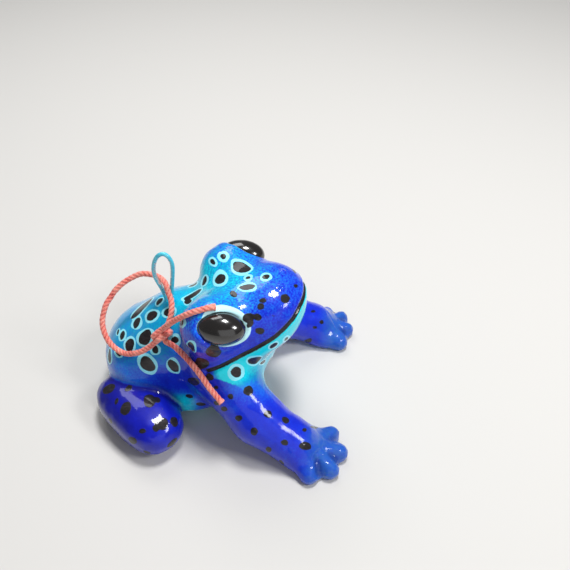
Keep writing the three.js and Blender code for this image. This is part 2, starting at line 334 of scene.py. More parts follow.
# %% [markdown]
# ## One skin of clay
#
# The solids part the body with thin slits, but the real figure is modelled from lumps of clay pressed
# together and smoothed with a wet finger. So the body's solids are copied, let out a little until the
# slits close, and fused by a voxel remesh into one skin. It is smoothed, which also thins it, and then
# drawn in by the rest of what it was let out. Most of the smoothing passes the hands by, so that their
# small fingers stay. A boolean union would keep every slit's sharp edge.

# %% Fuse the body's solids
BODY_NODES = [
    "torso", "head", "lower_jaw", "front_leg_right", "front_leg_left", "front_foot_right",
    "front_foot_left", "hind_leg_right", "hind_leg_left", "hind_foot_right", "hind_foot_left",
]
MERGE_NODES_WITHIN = 0.01 * MM
LET_OUT = 0.4 * MM
VOXEL = 0.39 * MM


def applied(shape):
    """The shape's mesh as its modifiers leave it, with the modifiers taken off."""
    evaluated = shape.evaluated_get(bpy.context.evaluated_depsgraph_get())
    shape.data = bpy.data.meshes.new_from_object(evaluated)
    shape.modifiers.clear()


lumps = bmesh.new()
for node in BODY_NODES:
    lumps.from_mesh(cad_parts[node].data)
bmesh.ops.remove_doubles(lumps, verts=lumps.verts, dist=MERGE_NODES_WITHIN)
skin = mesh_from("clay_skin", lumps)

swell = skin.modifiers.new("let_out", "DISPLACE")
swell.strength = LET_OUT
swell.mid_level = 0
fuse = skin.modifiers.new("fuse", "REMESH")
fuse.mode = "VOXEL"
fuse.voxel_size = VOXEL
applied(skin)
print("fused skin", len(skin.data.polygons), "faces")

# %% Two ways to soften
WEIGHT_LEVELS = 10


def ramp(values, low, high):
    """0 below low and 1 above high, with a soft start and stop between them."""
    share = np.clip((values - low) / (high - low), 0, 1)
    return share * share * (3 - 2 * share)


def smooth(shape, rounds, weights):
    """Evens the shape out where the weights are high, and leaves it where they are 0."""
    group = shape.vertex_groups.new(name="softened")
    for level in range(1, WEIGHT_LEVELS + 1):
        chosen = np.nonzero(np.round(weights * WEIGHT_LEVELS) == level)[0].tolist()
        group.add(chosen, level / WEIGHT_LEVELS, "REPLACE")
    even = shape.modifiers.new("even", "SMOOTH")
    even.iterations = rounds
    even.vertex_group = group.name
    applied(shape)
    shape.vertex_groups.clear()


print("smoothing has", WEIGHT_LEVELS, "strengths")

# %% Smooth the skin as a wet finger does
HAND_START = (13 * MM, 17 * MM)
HAND_TOP = 8 * MM
ROUNDS_ALL_OVER = 4
ROUNDS_OFF_THE_HANDS = 24
DRAWN_IN = 0.22 * MM
places = coordinates(skin.data)
on_hand = ramp(places[:, 1], *HAND_START) * (places[:, 2] < HAND_TOP)
smooth(skin, ROUNDS_ALL_OVER, np.ones(len(places)))
smooth(skin, ROUNDS_OFF_THE_HANDS, 1 - on_hand)

draw_in = skin.modifiers.new("draw_in", "DISPLACE")
draw_in.strength = -DRAWN_IN
draw_in.mid_level = 0
applied(skin)
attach(skin, "root")
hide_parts(*BODY_NODES)
print("skin box", [round(side / MM, 1) for side in skin.dimensions])

# %% [markdown]
# ## Where the face is
#
# The mouth, the eyes and the paint all follow the head, so the skin's places are also worked out in the
# head's own directions: how far ahead of its middle, and how far above. The mouth is a shallow line that
# rises towards the snout. The distance to it is divided by how fast it grows along the surface, which
# makes it a true distance even where the clay slopes.

# %% Measure the mouth line and the eyes
HEAD_CENTRE = (0, 10.5, 26.5)
HEAD_PITCH = math.radians(24)
MOUTH_CORNER = -6
MOUTH_AHEAD = [-8, 1, 5.2, 9.4, 11.9, 13.6, 15.2, 15.6]
MOUTH_ABOVE = [-3, -2.8, -2.6, -2.1, -1.5, -1.1, -0.4, -0.4]
EYE_CENTRE = (11.8, 9.25, 31.6)
EYE_HALF_SIZES = (3.5, 5.2, 3.4)
HEAD_AHEAD = np.array([0, math.cos(HEAD_PITCH), math.sin(HEAD_PITCH)])
HEAD_ABOVE = np.array([0, -math.sin(HEAD_PITCH), math.cos(HEAD_PITCH)])
SLOPE_STEP = 0.5
LEAST_GROWTH = 0.1


def on_head(rows):
    """How far ahead of the head's middle each place is, and how far above it, in millimetres."""
    steps = (rows - np.array(placed(HEAD_CENTRE))) / MM
    return steps @ HEAD_AHEAD, steps @ HEAD_ABOVE


def above_mouth(rows, facing):
    """The distance above the mouth line, along the surface, in millimetres."""
    ahead, above = on_head(rows)
    line = np.interp(ahead, MOUTH_AHEAD, MOUTH_ABOVE)
    slope = (np.interp(ahead + SLOPE_STEP, MOUTH_AHEAD, MOUTH_ABOVE) - line) / SLOPE_STEP
    growth = HEAD_ABOVE - slope[:, None] * HEAD_AHEAD
    along = (growth ** 2).sum(1) - (growth * facing).sum(1) ** 2
    along = np.sqrt(np.maximum(along, LEAST_GROWTH))
    return (above - line) / along


def mouth_edge(rows, facing, half_width):
    """The distance outside a band of that half width on the mouth line, in millimetres."""
    ahead, _ = on_head(rows)
    return np.maximum(np.abs(above_mouth(rows, facing)) - half_width, MOUTH_CORNER - ahead)


def from_eye(rows):
    """The distance from the nearer eye's surface, and the step from its middle on the right side."""
    step = (rows - np.array(placed((0, *EYE_CENTRE[1:])))) / MM
    step[:, 0] = np.abs(step[:, 0]) - EYE_CENTRE[0]
    size = np.linalg.norm(step / EYE_HALF_SIZES, axis=1)
    steep = np.linalg.norm(step / np.square(EYE_HALF_SIZES), axis=1)
    return size * (size - 1) / np.maximum(steep, 1e-6), step


print("mouth from", MOUTH_CORNER, "to", MOUTH_AHEAD[-1], "mm ahead of the head's middle")

# %% [markdown]
# ## Modelled details
#
# The mouth and the rims of the eyes need finer corners than the rest, so only the faces there are
# subdivided. Then each corner is moved along its own direction: into a groove along the mouth with a
# soft lip on each side, up to a low rim round the eyes and to two nostrils, into a fold on each hand,
# and in and out by a few hundredths of a millimetre, as hand-smoothed clay is. Those waves are what
# breaks the varnish's highlights into patches. A bump in the paint would be lighter, but the lips and
# rims would be missing from the outline.

# %% Refine the mouth and the eyes' rims
FINE_MOUTH = 1.3
FINE_RIM = 1.7
FACE_HALF_HEIGHT = 7


def refine(shape, chosen):
    """Splits each face whose corners are all chosen into four."""
    form = bmesh.new()
    form.from_mesh(shape.data)
    picked = set(np.nonzero(chosen)[0].tolist())
    edges = [edge for edge in form.edges if all(end.index in picked for end in edge.verts)]
    bmesh.ops.subdivide_edges(form, edges=edges, cuts=1, use_grid_fill=True, smooth=0)
    bmesh.ops.triangulate(form, faces=[face for face in form.faces if len(face.verts) > 4])
    form.to_mesh(shape.data)
    form.free()


places = coordinates(skin.data)
facing = directions(skin.data)
refine(skin, (
    (mouth_edge(places, facing, 0) < FINE_MOUTH) & (np.abs(on_head(places)[1]) < FACE_HALF_HEIGHT)
    | (from_eye(places)[0] < FINE_RIM)))
print("refined skin", len(skin.data.polygons), "faces")

# %% See the skin from the camera
LINE_STEP = 0.2 * MM
SNOUT_PIXEL = (290, 280)
skin_tree = BVHTree.FromObject(skin, bpy.context.evaluated_depsgraph_get())


def cast(across, down):
    """Where the ray through a pixel meets the skin, and which way the skin faces there."""
    place, normal, _, _ = skin_tree.ray_cast(CAMERA_PLACE, ray_through(across, down))
    if place is None:
        print("no clay at", across, down)
    return place, normal


def from_line(rows, pixels):
    """The distance from a line drawn on the skin through some pixels, in millimetres."""
    route, _ = smooth_route([cast(*pixel)[0] for pixel in pixels], LINE_STEP)
    nearest = np.full(len(rows), np.inf)
    for point in route:
        nearest = np.minimum(nearest, ((rows - np.array(point)) ** 2).sum(1))
    return np.sqrt(nearest) / MM


print("the snout is at", [round(side / MM, 1) for side in cast(*SNOUT_PIXEL)[0]], "mm")

# %% Press and raise the details
MOUTH_DEPTH, MOUTH_REACH = 0.34, 0.42
LIP_RISE, LIP_FROM_MOUTH, LIP_REACH = 0.13, 1, 0.45
RIM_RISE, RIM_FROM_EYE, RIM_REACH = 0.2, 0.75, 0.6
NOSTRILS = [(281.1, 287), (282.8, 270.2)]
NOSTRIL_RISE, NOSTRIL_REACH = 0.28, 0.5
DIP_DEPTH, DIP_FROM_NOSTRIL, DIP_REACH = 0.06, 0.9, 0.3
HAND_FOLDS = [
    [(326, 443), (322, 448), (317, 453), (313, 460), (311, 466)],
    [(327, 311), (331, 317), (334, 323), (338, 330)],
]
FOLD_DEPTH, FOLD_REACH = 0.16, 0.3
WAVES = [(6.5, 0.09), (2.6, 0.035), (1.1, 0.008)]


def bump(distance, reach):
    """1 on a line and nearly 0 past its reach."""
    return np.exp(-np.square(distance / reach))


places = coordinates(skin.data)
facing = directions(skin.data)
mouth = mouth_edge(places, facing, 0)
rim, _ = from_eye(places)
rise = -MOUTH_DEPTH * bump(np.maximum(mouth, 0), MOUTH_REACH)
rise += LIP_RISE * bump(mouth - LIP_FROM_MOUTH, LIP_REACH)
rise += RIM_RISE * bump(rim - RIM_FROM_EYE, RIM_REACH)
for pixel in NOSTRILS:
    spread = np.linalg.norm(places - np.array(cast(*pixel)[0]), axis=1) / MM
    rise += NOSTRIL_RISE * bump(spread, NOSTRIL_REACH)
    rise -= DIP_DEPTH * bump(spread - DIP_FROM_NOSTRIL, DIP_REACH)
for fold in HAND_FOLDS:
    rise -= FOLD_DEPTH * bump(from_line(places, fold), FOLD_REACH)
for length, height in WAVES:
    rise += height * np.array([noise.noise(Vector(place) / (length * MM)) for place in places])
moved = places + facing * rise[:, None] * MM
moved[:, 2] = np.maximum(moved[:, 2], 0)
skin.data.vertices.foreach_set("co", moved.ravel())
skin.data.update()
places = coordinates(skin.data)
facing = directions(skin.data)
print("details of up to", round(float(np.abs(rise).max()), 2), "mm on", len(places), "corners")

# %% [markdown]
# ## The airbrushed blues
#
# The painter laid the blues on in soft passes, from navy on the thighs through cobalt to azure and
# turquoise on the back and bright cyan under the chin. Here each pass is a dab: a pixel of the photo or
# a place on the figure, a reach in millimetres, and a tone from 0, navy, to 1, cyan. A corner takes the
# mean of the dabs near it, weighed by closeness. The dabs are mirrored, as the painter did both sides
# alike. The thighs have dabs of their own and a hard edge in the crease, and the chin's band is sprayed
# below the mouth line. Colours painted on an unwrapped picture would do too, but one tone for each
# corner needs no unwrapping and can be changed by a number.

# %% Dabs, as (place), reach, tone
BODY_DABS = [
    ((150, 330), 4, 0.72), ((125, 345), 4, 0.7), ((140, 310), 3.4, 0.71), ((175, 310), 3.5, 0.75),
    ((195, 290), 3, 0.85), ((205, 280), 3, 0.88), ((160, 350), 2.6, 0.68), ((110, 368), 2.6, 0.5),
    ((132, 371), 2.4, 0.5), ((152, 376), 2, 0.4), ((175, 352), 2.4, 0.5), ((188, 340), 2.6, 0.4),
    ((170, 376), 2.6, 0.36), ((192, 362), 3, 0.36), ((200, 388), 3, 0.34), ((185, 320), 2.2, 0.55),
    ((215, 392), 2.8, 0.36), ((204, 397), 1.8, 0.34), ((186, 386), 2, 0.36), ((250, 376), 2.2, 0.74),
    ((264, 370), 2.4, 0.9), ((238, 380), 2, 0.58), ((255, 386), 2.2, 0.46), ((240, 398), 2.6, 0.4),
    ((250, 415), 3, 0.36), ((275, 435), 3.4, 0.36), ((300, 448), 3.4, 0.38), ((187, 402), 1.6, 0.95),
    ((206, 403), 2, 0.34), ((235, 260), 3.2, 0.84), ((216, 272), 2.6, 0.84),
    ((252, 276), 2.6, 0.78), ((268, 274), 2.4, 0.6), ((226, 250), 2.6, 0.62), ((238, 252), 2.6, 0.56),
    ((214, 292), 2.2, 0.62), ((210, 300), 2, 0.52), ((238, 300), 2.4, 0.44), ((277, 272), 2.6, 0.45),
    ((292, 280), 3, 0.42), ((266, 292), 2.4, 0.45), ((286, 302), 3, 0.38), ((272, 322), 3, 0.38),
    ((248, 344), 2.6, 0.37), ((190, 348), 1.6, 0.37),
]
HIDDEN_DABS = [
    ((0, 5, 1), 5, 0.92), ((0, -8, 1), 5, 0.88), ((0, 15, 14), 4, 0.86), ((0, 13, 7), 4, 0.86),
    ((0, -22, 10), 4, 0.64), ((8, -20, 9), 3.5, 0.58), ((0, -20.5, 17), 4, 0.7), ((14, 24, 5), 4, 0.36),
    ((11, 12, 9), 3.5, 0.4),
]
THIGH_DABS = [
    ((108, 396), 4, 0.14), ((125, 420), 4.5, 0.17), ((145, 402), 4, 0.28), ((165, 424), 4, 0.29),
    ((150, 444), 4, 0.26), ((180, 425), 3, 0.3), ((140, 382), 3, 0.2),
]
HIDDEN_THIGH_DABS = [((18, -22, 4), 4, 0.1), ((10, -16, 3), 4, 0.12)]
print(len(BODY_DABS + THIGH_DABS), "dabs seen,", len(HIDDEN_DABS + HIDDEN_THIGH_DABS), "hidden")

# %% Spray the dabs
CHIN_TONE = 1
CHIN_EDGE = (0, 0.3)
CHIN_FADE = (3.2, 8.5)
CHIN_START = (-5.6, -3)
CHIN_HALF_WIDTH = 16 * MM
THIGH_EDGE = (-0.25, 0.25)


def sprayed(rows, seen, hidden):
    """The mean tone of the dabs near each place and of their mirror images."""
    total = np.zeros(len(rows))
    weight = np.full(len(rows), 1e-12)
    dabs = [(cast(*pixel)[0], reach, tone) for pixel, reach, tone in seen if cast(*pixel)[0]]
    dabs += [(placed(place), reach, tone) for place, reach, tone in hidden]
    for middle, reach, tone in dabs:
        for side in (1, -1):
            away = (rows - np.array((side * middle[0], middle[1], middle[2]))) / MM
            near = np.exp(-(away ** 2).sum(1) / (2 * reach ** 2)) + 1e-9
            total += near * tone
            weight += near
    return total / weight


def from_nodes(rows, *names):
    """The distance from the nearest of some solids, in millimetres."""
    trees = []
    for name in names:
        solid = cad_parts[name].data
        trees.append(BVHTree.FromPolygons(
            [corner.co for corner in solid.vertices], [face.vertices for face in solid.polygons]))
    return np.array([
        min(tree.find_nearest(place)[3] for tree in trees) for place in map(Vector, rows)]) / MM


from_thighs = from_nodes(
    places, "hind_leg_right", "hind_leg_left", "hind_foot_right", "hind_foot_left")
from_torso = from_nodes(places, "torso", "front_leg_right", "front_leg_left")
on_thigh = ramp(from_torso - from_thighs, *THIGH_EDGE)
tone = sprayed(places, BODY_DABS, HIDDEN_DABS)
ahead, _ = on_head(places)
below_mouth = -above_mouth(places, facing)
chin = ramp(below_mouth, *CHIN_EDGE) * (1 - ramp(below_mouth, *CHIN_FADE)) * ramp(ahead, *CHIN_START)
chin *= np.abs(places[:, 0]) < CHIN_HALF_WIDTH
tone += (CHIN_TONE - tone) * chin
tone += (sprayed(places, THIGH_DABS, HIDDEN_THIGH_DABS) - tone) * on_thigh
print("tones from", round(float(tone.min()), 2), "to", round(float(tone.max()), 2))

# %% [markdown]
# ## The painted spots
#
# Each spot in the photo is an oval, and most on the back and head stand in a pale ring. A spot is
# given as it is seen there: the pixel of its middle, its length and breadth in pixels, its tilt and how
# wide its ring is. A ray through the pixel finds its place on the clay, and the ends of its two axes are
# carried onto the plane that touches the clay there, so the spot has its true size and slant and still
# lies right from every side. What is kept for each corner is its distance outside the nearest spot, and
# outside the nearest ring. The material cuts a sharp edge at zero, much finer than the mesh.

# %% Ringed spots, as (middle), long, short, tilt, ring
RINGED_SPOTS = [
    ((151.5, 315.6), 12.1, 8.3, 45, 2.2), ((136.7, 322.6), 11.2, 6.1, 65, 2),
    ((122.3, 335.1), 9.2, 4.5, 72, 1.7), ((129.7, 345), 14.3, 8.3, 80, 2),
    ((145, 337.3), 16, 11.8, 60, 2.2), ((159.3, 301.3), 9.2, 4.1, 50, 1.4),
    ((141.5, 307.8), 30, 7, 42, 1.6), ((169.2, 311.8), 11.5, 8.3, 30, 2),
    ((180.7, 322), 9, 7, 0, 2.5), ((175, 340), 8, 7, 0, 3), ((155.2, 349.7), 8, 6.5, 90, 2),
    ((147.5, 364.1), 17.2, 12.8, -50, 3), ((173.3, 366.3), 14, 9, -50, 2),
    ((190.9, 347.5), 10.5, 8.5, -60, 1.8), ((118.5, 352.6), 8, 5, -60, 1.8),
    ((109.5, 356), 14, 4, 90, 1.5), ((117.9, 332), 6, 2, 75, 1.2), ((188, 301.4), 8, 5, 10, 1.2),
    ((193.2, 294.8), 21, 5, 31, 1.5), ((193.3, 284.9), 9.5, 4, 28, 1.5),
    ((204.4, 280.9), 10, 4, 70, 1.8), ((241.6, 267.8), 19.2, 10.2, -10, 2.4),
    ((223.2, 256.4), 6, 5.5, 0, 3), ((212.6, 261.7), 6.5, 4.5, -60, 2),
    ((220.3, 279.2), 12, 8.5, 45, 3), ((248.1, 277.8), 5.5, 2.8, 15, 2),
    ((266, 276.8), 8.5, 4.7, 15, 2), ((247.3, 287), 15.5, 6, 8, 2),
    ((236.2, 372), 11, 10.6, 0, 3.2), ((255, 360.2), 14.7, 6.5, 12, 1.6),
    ((273.6, 345.6), 9.5, 4.2, 35, 1.5), ((286.4, 339), 5, 4, 45, 2), ((263, 362.2), 7.5, 4.5, 35, 1.2),
]
print(len(RINGED_SPOTS), "ringed spots are seen")

# %% Plain spots, as (middle), long, short, tilt
PLAIN_SPOTS = [
    ((233.4, 293.9), 8, 6, -20), ((294.2, 270.7), 6, 4, -45), ((295.8, 285.8), 4.2, 4, 0),
    ((285.2, 298.4), 10, 9, 0), ((262.8, 300.4), 7.5, 5, 0), ((260.7, 306.6), 7.5, 6.5, 0),
    ((273.4, 316), 2.5, 2.5, 0), ((248.5, 318), 12, 10, 0), ((257.5, 317.2), 9, 7, 0),
    ((250.1, 323.7), 9, 6, 60), ((259.9, 331), 10, 6.5, 0), ((213.4, 352), 15, 13, 0),
    ((201.5, 363), 14, 13, 0), ((209.7, 377.3), 8, 7.5, 0), ((192.8, 381.7), 12.5, 8, -22),
    ((216.2, 387.5), 5, 4, 0), ((189.3, 396.1), 8, 3.7, -10), ((200.8, 396.8), 8, 3.3, 0),
    ((201, 404.2), 10, 3.5, 0), ((217.5, 403), 8, 5, 0), ((224, 409), 7, 5, 0),
    ((230.6, 396.5), 6, 5.6, 0), ((248.4, 390.7), 10.5, 9.5, -60), ((238.6, 418.2), 7.2, 6.5, 0),
    ((254.1, 431.6), 8, 8, 0), ((268.1, 414), 8, 8, 0), ((285.6, 420), 8.5, 6, -25),
    ((304.6, 429.8), 5, 3.5, 0), ((314, 427.5), 11, 6, -25), ((284.6, 442.6), 7.5, 6, 0),
    ((305.6, 446.1), 12, 8.5, 0), ((268.6, 449.6), 6.5, 5, -30), ((281.6, 462.6), 7.5, 4, -40),
    ((321.7, 322.1), 4.5, 4, 0), ((307.9, 340.9), 8, 4.7, 8), ((313, 311.4), 5, 2.5, 0),
    ((314.8, 327.5), 5, 3, 0),
]
THIGH_SPOTS = [
    ((108.5, 388.6), 14, 8.3, 35), ((128.6, 388.3), 9, 5, 40), ((116.5, 401.4), 7.5, 3.5, 65),
    ((125.7, 408.4), 15, 9.5, 60), ((149.6, 400.7), 13, 12.5, 0), ((157, 400), 7, 6, 0),
    ((161.5, 423.5), 14.5, 12, 20), ((156.3, 428), 8, 7, 0), ((174.2, 421.8), 10.5, 7.5, -60),
    ((142.3, 431), 7.5, 5, 15), ((110.4, 421.1), 6.5, 3.5, -60), ((132.1, 440.9), 10, 6, -35),
    ((172.6, 443.1), 14, 5, 38), ((146.8, 452.4), 8, 4, -15),
]
print(len(PLAIN_SPOTS) + len(THIGH_SPOTS), "plain spots are seen")

# %% Lay an oval on the skin
FAR_OFF = 3.0
WOBBLE = ((2, 0.045), (3, 0.04), (5, 0.02))
HEIGHT_SHARE = 0.4
SEED = 11
hand = random.Random(SEED)
spot_edge = np.full(len(places), FAR_OFF)
ring_edge = np.full(len(places), FAR_OFF)


def oval_edge(near, middle, long_arm, short_arm, outward, phases):
    """The distance of some corners outside an oval on the clay, in millimetres."""
    arms = np.array([list(long_arm), list(short_arm), list(outward)]).T
    shares = (places[near] - np.array(middle)) @ np.linalg.inv(arms).T
    along, aside, height = shares.T
    angle = np.arctan2(aside, along)
    wobble = 1 + sum(
        size * np.sin(turns * angle + phase) for (turns, size), phase in zip(WOBBLE, phases))
    reach = math.sqrt(long_arm.length * short_arm.length)
    size = np.sqrt(along ** 2 + aside ** 2 + HEIGHT_SHARE * (height / reach) ** 2) / wobble
    steep = np.sqrt((along / long_arm.length) ** 2 + (aside / short_arm.length) ** 2)
    return size * (size - 1) / np.maximum(steep, 1e-3 / reach) / MM


def lay_spot(edges, middle, outward, long_arm, short_arm, region):
    """Adds an oval to the distances, on the region's clay that faces the same way as its middle."""
    reach = max(long_arm.length, short_arm.length) + FAR_OFF * MM
    near = ((places - np.array(middle)) ** 2).sum(1) < reach ** 2
    near = np.nonzero(near & region & (facing @ np.array(outward) > 0))[0]
    phases = [hand.uniform(0, 2 * math.pi) for _ in WOBBLE]
    edges[near] = np.minimum(edges[near], oval_edge(near, middle, long_arm, short_arm, outward, phases))


print("a spot's distance is kept as far as", FAR_OFF, "mm from it")

# %% Lay the seen spots
MOST_STRETCH = 1.8
THIGH_SHARE = 0.3


def arm_on_clay(pixel, step, middle, outward):
    """A step of some pixels from a spot's middle, carried onto the plane that touches the clay."""
    sight = ray_through(pixel[0] + step[0], pixel[1] - step[1])
    depth = (middle - CAMERA_PLACE).dot(outward) / sight.dot(outward)
    arm = CAMERA_PLACE + sight * depth - middle
    plain_length = math.hypot(*step) / FOCAL_PX * (middle - CAMERA_PLACE).length
    if depth < 0 or arm.length > MOST_STRETCH * plain_length:
        arm = arm.normalized() * MOST_STRETCH * plain_length * (-1 if depth < 0 else 1)
    return arm


def lay_seen_spot(edges, pixel, long_px, short_px, tilt, region):
    """Lays a spot that is given as the photo shows it."""
    middle, outward = cast(*pixel)
    if middle is None:
        return
    turn = math.radians(tilt)
    arms = [
        arm_on_clay(pixel, (size / 2 * math.cos(angle), size / 2 * math.sin(angle)), middle, outward)
        for size, angle in ((long_px, turn), (short_px, turn + math.pi / 2))]
    lay_spot(edges, middle, outward, *arms, region)


thigh_region = on_thigh > THIGH_SHARE
for pixel, long_px, short_px, tilt, ring_px in RINGED_SPOTS:
    lay_seen_spot(spot_edge, pixel, long_px, short_px, tilt, ~thigh_region)
    lay_seen_spot(ring_edge, pixel, long_px + 2 * ring_px, short_px + 2 * ring_px, tilt, ~thigh_region)
for spot in PLAIN_SPOTS:
    lay_seen_spot(spot_edge, *spot, ~thigh_region)
for spot in THIGH_SPOTS:
    lay_seen_spot(spot_edge, *spot, thigh_region)
print("clay under a spot:", int((spot_edge < 0).sum()), "corners")

# %% [markdown]
# The painter went on in the same way where the photo doesn't reach. Random places, from a fixed seed,
# are taken on the clay that the camera can't see. Each gets a ringed spot where the blue is light and a
# small plain one where it is dark, if there is room for it.

# %% Find room on the hidden sides
HIDDEN_TRIES = 2600
MOST_HIDDEN = 170
SEEN_DEPTH = 0.5 * MM
LOWEST_SPOT = 1.5 * MM
MOUTH_CLEARANCE = 0.5


def camera_sees(place, outward):
    """True where nothing hides the place from the camera."""
    sight = place - CAMERA_PLACE
    if sight.dot(outward) > 0:
        return False
    depth = skin_tree.ray_cast(CAMERA_PLACE, sight.normalized())[3]
    return depth is None or depth > sight.length - SEEN_DEPTH


def room_at(number, gap):
    """True where no spot or ring, and neither mouth nor eye, is nearer than the gap."""
    from_mouth = np.abs(mouth_now[number]) - MOUTH_CLEARANCE
    return min(spot_edge[number], ring_edge[number], from_mouth, rim_now[number]) > gap


mouth_now = mouth_edge(places, facing, 0)
rim_now, eye_step = from_eye(places)
print(HIDDEN_TRIES, "places are tried")

# %% Add spots on the hidden sides
LIGHT_TONE = 0.5
LIGHT_HALF_LENGTHS = (0.9, 1.75)
DARK_HALF_LENGTHS = (0.55, 1.15)
BREADTH_SHARES = (0.55, 0.85)
RING_WIDTHS = (0.4, 0.6)
LENGTH_SHARE = 0.8
LIGHT_GAP, DARK_GAP = 0.5, 1.4

hidden_count = 0
for _ in range(HIDDEN_TRIES):
    number = hand.randrange(len(places))
    middle, outward = Vector(places[number]), Vector(facing[number])
    light = tone[number] > LIGHT_TONE
    long_mm = hand.uniform(*(LIGHT_HALF_LENGTHS if light else DARK_HALF_LENGTHS))
    short_mm = long_mm * hand.uniform(*BREADTH_SHARES)
    ring_mm = hand.uniform(*RING_WIDTHS) if light else 0
    spare = long_mm * LENGTH_SHARE + ring_mm + (LIGHT_GAP if light else DARK_GAP)
    if middle.z < LOWEST_SPOT or hidden_count >= MOST_HIDDEN or not room_at(number, spare):
        continue
    if camera_sees(middle, outward):
        continue
    along = outward.orthogonal().normalized()
    along.rotate(Matrix.Rotation(hand.uniform(0, math.pi), 3, outward))
    aside = outward.cross(along)
    region = thigh_region if thigh_region[number] else ~thigh_region
    lay_spot(spot_edge, middle, outward, along * long_mm * MM, aside * short_mm * MM, region)
    if light:
        grown = [along * (long_mm + ring_mm) * MM, aside * (short_mm + ring_mm) * MM]
        lay_spot(ring_edge, middle, outward, *grown, region)
    hidden_count += 1
print(hidden_count, "spots on the hidden sides")

# %% [markdown]
# The pale ring round each eye is widest above and in front and thins to nothing behind, so its width
# goes by the direction from the eye's middle, as the camera sees the near eye. The black band of the
# mouth has an even width. A crease is where the corners round about lie higher than the corner itself:
# the difference is smoothed and kept, and the blue is darkened there as painted shade.

# %% Measure the pale ring round the eyes
LID_ANGLES = [-180, -125, -100, -60, -25, 20, 50, 90, 125, 150, 180]
LID_WIDTHS = [0.1, 0, 0.1, 0.5, 0.95, 1.2, 1.35, 1.4, 1.05, 0.3, 0.1]
LEFT_LID_SHARE = 0.45

view = np.array(camera.rotation_euler.to_matrix())
lid_angle = np.degrees(np.arctan2(eye_step @ view[:, 1], eye_step @ view[:, 0]))
lid_width = np.interp(lid_angle, LID_ANGLES, LID_WIDTHS)
lid_edge = rim_now - lid_width * np.where(places[:, 0] > 0, 1, LEFT_LID_SHARE)
print("the pale ring is up to", max(LID_WIDTHS), "mm wide")

# %% Find the creases
CREASE_ROUNDS = 12

edges = np.array([edge.vertices[:] for edge in skin.data.edges])
joined = np.bincount(edges.ravel(), minlength=len(places))


def neighbours_mean(values):
    """For each corner, the mean of the values at the corners that it is joined to."""
    total = np.zeros(len(values))
    np.add.at(total, edges[:, 0], values[edges[:, 1]])
    np.add.at(total, edges[:, 1], values[edges[:, 0]])
    return total / joined


hollow = sum(
    (neighbours_mean(places[:, axis]) - places[:, axis]) * facing[:, axis] for axis in range(3))
for _ in range(CREASE_ROUNDS):
    hollow = neighbours_mean(hollow)
print("hollows of up to", round(float(hollow.max() / MM), 3), "mm between corners")

# %% [markdown]
# The hands got a thin steel-blue wash. The speckle of the airbrush, its mist, is strongest on top of the
# head and weak elsewhere. Everything that the paint needs to know is kept as one number for each corner,
# because a mask that is worked out from the shape follows it, which a flat picture would not.

# %% Keep the paint's edges on the skin
BAND_HALF_WIDTH = 0.66
WASH_REACH = (26.5, 31.5)
WASH_TOP = 9 * MM
MIST_HEIGHTS = (25 * MM, 29 * MM)
MIST_AHEAD = (-9, -5)
MIST_ELSEWHERE = 0.35
CREASE_HOLLOWS = (0.003, 0.015)

layout_y = places[:, 1] / MM + MIDDLE_Y
wash = ramp(layout_y, *WASH_REACH) * (places[:, 2] < WASH_TOP)
on_crown = ramp(places[:, 2], *MIST_HEIGHTS) * ramp(ahead, *MIST_AHEAD)

keep(skin.data, "tone", tone)
keep(skin.data, "spot_edge", spot_edge)
keep(skin.data, "ring_edge", ring_edge)
keep(skin.data, "lid_edge", np.minimum(lid_edge, FAR_OFF))
keep(skin.data, "mouth_edge", np.minimum(mouth_edge(places, facing, BAND_HALF_WIDTH), FAR_OFF))
keep(skin.data, "hand_wash", wash)
keep(skin.data, "mist", MIST_ELSEWHERE + (1 - MIST_ELSEWHERE) * on_crown)
# Painted shade: this number darkens the blue in the hollows of the clay.
keep(skin.data, "crease", ramp(hollow / MM, *CREASE_HOLLOWS))
print("eight numbers kept for each of", len(places), "corners")

# %% [markdown]
# ## The eyes
#
# The eyes are balls of clay pressed into the sides of the head and painted black. A spun half circle
# would do too, but a ready ball, stretched, is simpler. It has fine facets, so that its outline is round
# and its highlights are clean, and the same slight waves as the skin.

# %% Make the eyes
EYE_FACETS = (96, 48)
EYE_WAVE_LENGTH = 2.4 * MM
EYE_WAVE = 0.05 * MM


def eye(name, side):
    """A black eye on the frog's right, side 1, or left, side -1."""
    ball = bmesh.new()
    bmesh.ops.create_uvsphere(ball, u_segments=EYE_FACETS[0], v_segments=EYE_FACETS[1], radius=1)
    bmesh.ops.scale(ball, vec=Vector(EYE_HALF_SIZES) * MM, verts=ball.verts)
    middle = placed((side * EYE_CENTRE[0], *EYE_CENTRE[1:]))
    bmesh.ops.translate(ball, vec=middle, verts=ball.verts)
    for corner in ball.verts:
        wave = EYE_WAVE * noise.noise(corner.co / EYE_WAVE_LENGTH)
        corner.co += (corner.co - middle).normalized() * wave
    made = mesh_from("painted_" + name, ball)
    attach(made, "root")
    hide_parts(name)
    return made


eyes = [eye("eye_right", 1), eye("eye_left", -1)]
print("eyes", [round(2 * half, 1) for half in EYE_HALF_SIZES], "mm")

# %% [markdown]
# ## Paint as sums
#
# A finish is a tree of nodes, but its masks are sums. So a small class wraps a node's output and
# overloads the operators, and an expression on such values adds its Math nodes. Any other node comes
# from one method that takes the node's type, its settings and what goes into its sockets.

